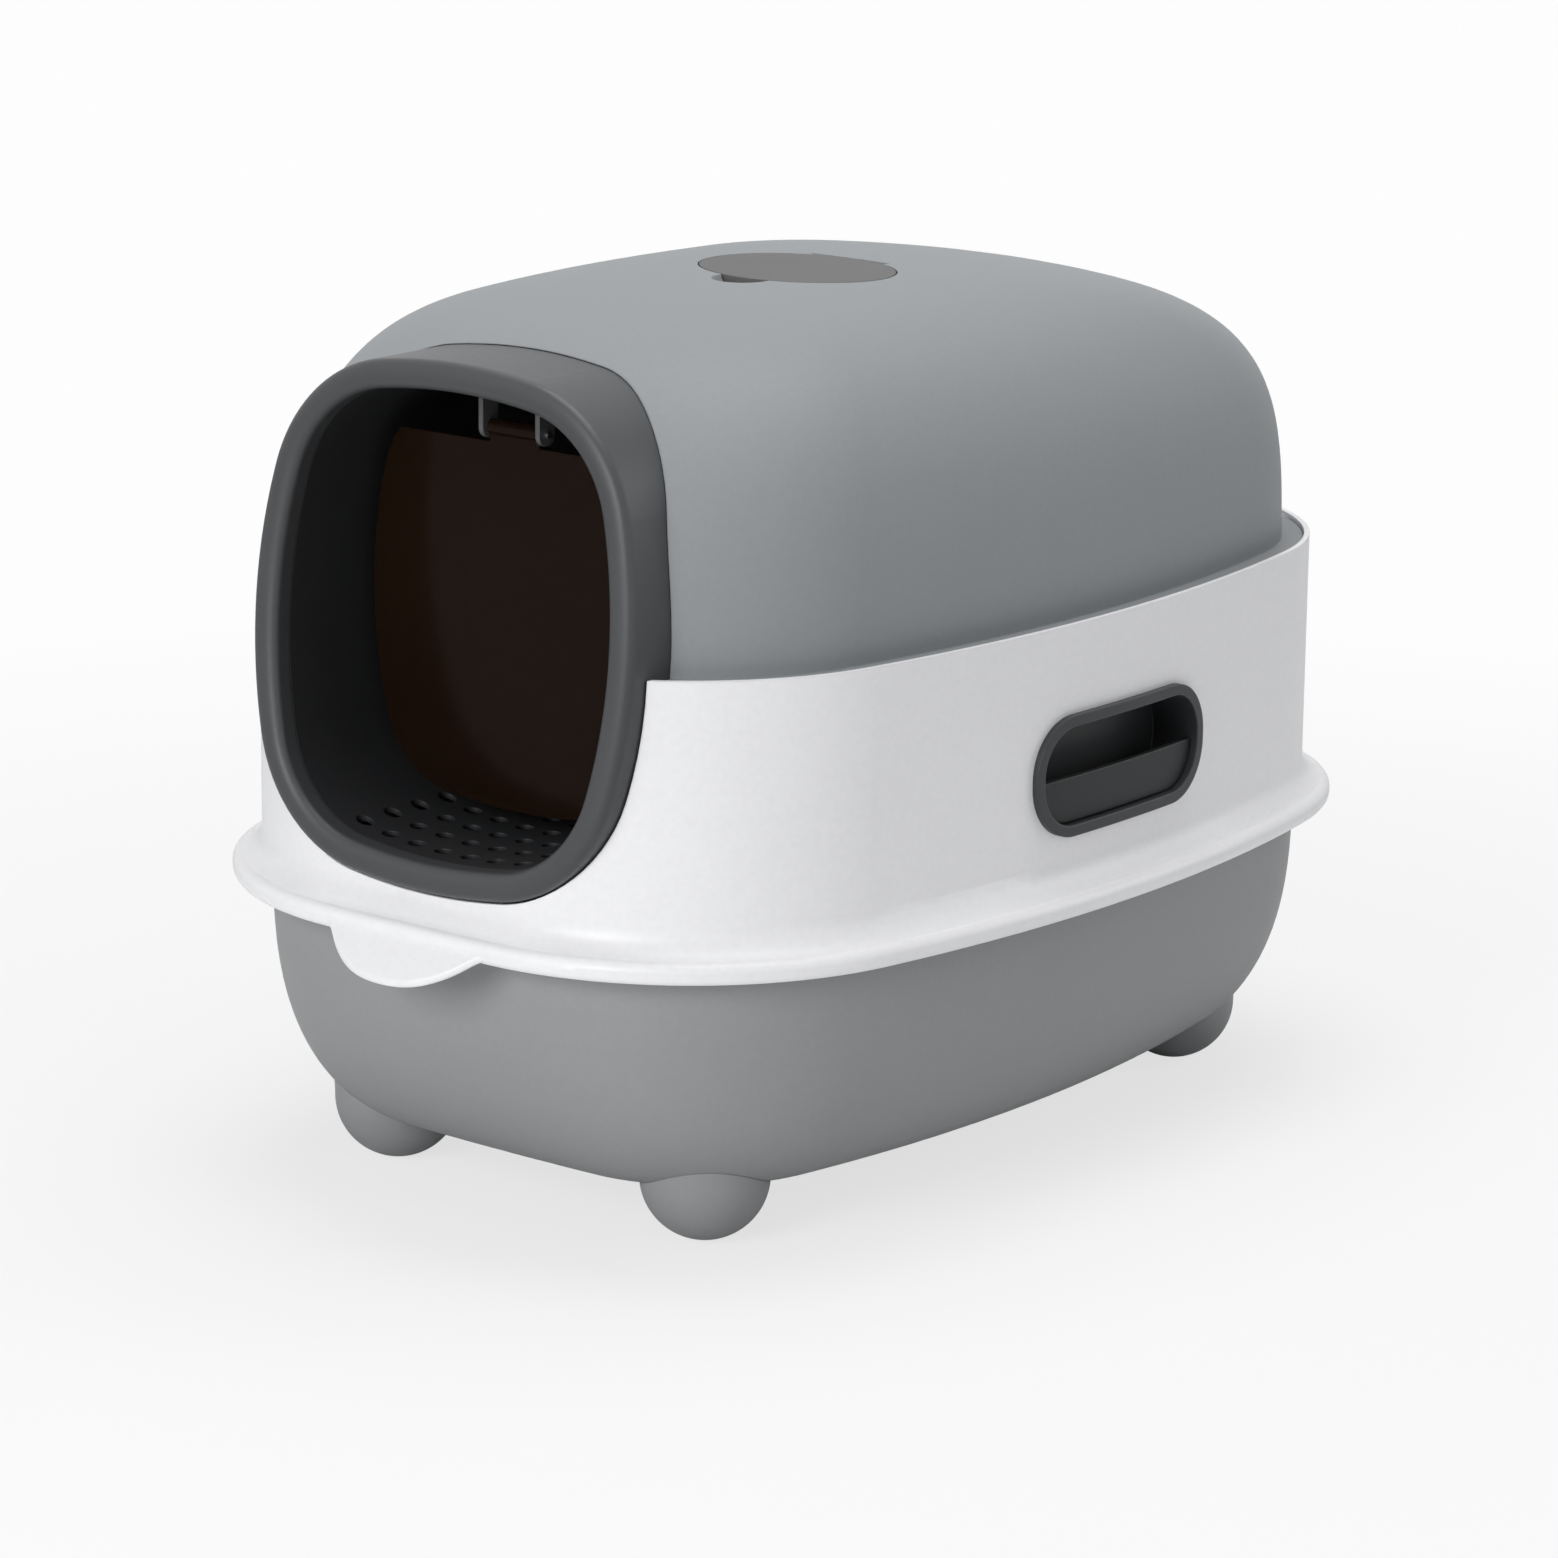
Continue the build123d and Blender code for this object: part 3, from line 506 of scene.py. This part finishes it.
pad_tree = bpy.data.node_groups.new("felt_pad", "GeometryNodeTree")
pad_items = {}
for label in pad_sizes:
    pad_items[label] = pad_tree.interface.new_socket(name=label, in_out="INPUT", socket_type="NodeSocketFloat")
pad_items["Material"] = pad_tree.interface.new_socket(
    name="Material", in_out="INPUT", socket_type="NodeSocketMaterial")
pad_tree.interface.new_socket(name="Mesh", in_out="OUTPUT", socket_type="NodeSocketGeometry")
pad_in = pad_tree.nodes.new("NodeGroupInput").outputs
pad_out = pad_tree.nodes.new("NodeGroupOutput")
pad_cube = add(pad_tree, "GeometryNodeMeshCube", {"Size": (2, 2, 2), **pad_cuts})
cube_spot = add(pad_tree, "GeometryNodeInputPosition").outputs[0]
cube_x, cube_y, cube_z = add(pad_tree, "ShaderNodeSeparateXYZ", {0: cube_spot}).outputs
print("pad inputs:", ", ".join(pad_items))

# %% [markdown]
# Seen from above the pad is an oval, cut to fit its tray. Each side of the square is drawn in by
# the other one, which turns the square into a disc with evenly spread points. Near its two faces
# the disc is drawn in a little more, so the rim is soft as on cut felt.

# %% Pad: oval
rim_power = 4.0


def pad_math(operation, first, second=0.0):
    return math_node(pad_tree, operation, first, second)


def disc(along, aside):
    """One side of the square, drawn in so that the square becomes a disc."""
    half_square = pad_math("MULTIPLY", pad_math("MULTIPLY", aside, aside), 0.5)
    return pad_math("MULTIPLY", along, pad_math("SQRT", pad_math("SUBTRACT", 1.0, half_square)))


disc_x = disc(cube_x, cube_y)
disc_y = disc(cube_y, cube_x)
near_face = pad_math("POWER", pad_math("ABSOLUTE", cube_z), rim_power)
draw = pad_math("SUBTRACT", 1.0, pad_math("MULTIPLY", near_face, pad_in["Rim Draw"]))
pad_x = pad_math("MULTIPLY", pad_math("MULTIPLY", disc_x, draw), pad_in["Half Width"])
pad_y = pad_math("MULTIPLY", pad_math("MULTIPLY", disc_y, draw), pad_in["Half Length"])
pad_y = pad_math("ADD", pad_y, pad_in["Middle Y"])
print("pad outline: oval")

# %% [markdown]
# The base is flat, because the pad lies in the tray, and the top swells towards the middle. A
# cell pattern, squeezed to the oval's proportions, sinks the needle pits, and only into the top.

# %% Pad: crown and pits
pit_squeeze = 0.68
pit_spread = 0.45
pit_edge = 0.32
pit_floor = 0.08
pit_power = 8.0

reach = pad_math("ADD", pad_math("MULTIPLY", disc_x, disc_x), pad_math("MULTIPLY", disc_y, disc_y))
swell = pad_math("MULTIPLY", pad_math("SUBTRACT", 1.0, reach), pad_in["Crown"])
share = pad_math("MULTIPLY", pad_math("ADD", cube_z, 1.0), 0.5)
height = pad_math("MULTIPLY", share, pad_math("ADD", pad_in["Rim Height"], swell))
pit_place = add(pad_tree, "ShaderNodeCombineXYZ", {0: disc_x, 1: pad_math("MULTIPLY", disc_y, pit_squeeze)})
pits = pad_tree.nodes.new("ShaderNodeTexVoronoi")
pits.voronoi_dimensions = "2D"
fill_in(pad_tree, pits, {"Vector": pit_place.outputs[0], "Scale": pad_in["Pits"], "Randomness": pit_spread})
pit_mask = pad_math("MULTIPLY", ramp(pad_tree, pits.outputs["Distance"], pit_edge, pit_floor),
                    pad_math("POWER", share, pit_power))
sunk = pad_math("SUBTRACT", height, pad_math("MULTIPLY", pit_mask, pad_in["Pit Depth"]))
pad_z = pad_math("ADD", sunk, pad_in["Base"])
print("pad top: crowned, with pits")

# %% [markdown]
# The last nodes move the cube's points to their places, shade them smooth and give the material.

# %% Pad: end of the tree
pad_spot = add(pad_tree, "ShaderNodeCombineXYZ", {0: pad_x, 1: pad_y, 2: pad_z})
pad_move = add(pad_tree, "GeometryNodeSetPosition",
               {"Geometry": pad_cube.outputs["Mesh"], "Position": pad_spot.outputs[0]})
pad_smooth = add(pad_tree, "GeometryNodeSetShadeSmooth", {"Geometry": pad_move.outputs[0]})
pad_real = add(pad_tree, "GeometryNodeRealizeInstances", {"Geometry": pad_smooth.outputs[0]})
pad_paint = add(pad_tree, "GeometryNodeSetMaterial",
                {"Geometry": pad_real.outputs[0], "Material": pad_in["Material"]})
fill_in(pad_tree, pad_out, {0: pad_paint.outputs[0]})
print("pad nodes:", len(pad_tree.nodes))

# %% [markdown]
# An object with the tree as its modifier becomes the pad. Its result is kept as a plain mesh, so
# nothing is left to be worked out later. The pad takes the place of the CAD pad and moves with
# the hood.

# %% Make the pad
pad = bpy.data.objects.new("filter_felt_pad", bpy.data.meshes.new("filter_felt_pad"))
scene.collection.objects.link(pad)
pad_rule = pad.modifiers.new("felt_pad", "NODES")
pad_rule.node_group = pad_tree
for label, number in pad_sizes.items():
    pad_rule[pad_items[label].identifier] = number
pad_rule[pad_items["Material"].identifier] = felt
graph = bpy.context.evaluated_depsgraph_get()
pad_mesh = bpy.data.meshes.new_from_object(pad.evaluated_get(graph))
pad.modifiers.remove(pad_rule)
pad.data = pad_mesh
pad_mesh.materials.clear()
pad_mesh.materials.append(felt)
for face in pad_mesh.polygons:
    face.material_index = 0
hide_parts("filter_pad")
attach(pad, "hood")
print("felt pad:", len(pad_mesh.polygons), "faces")
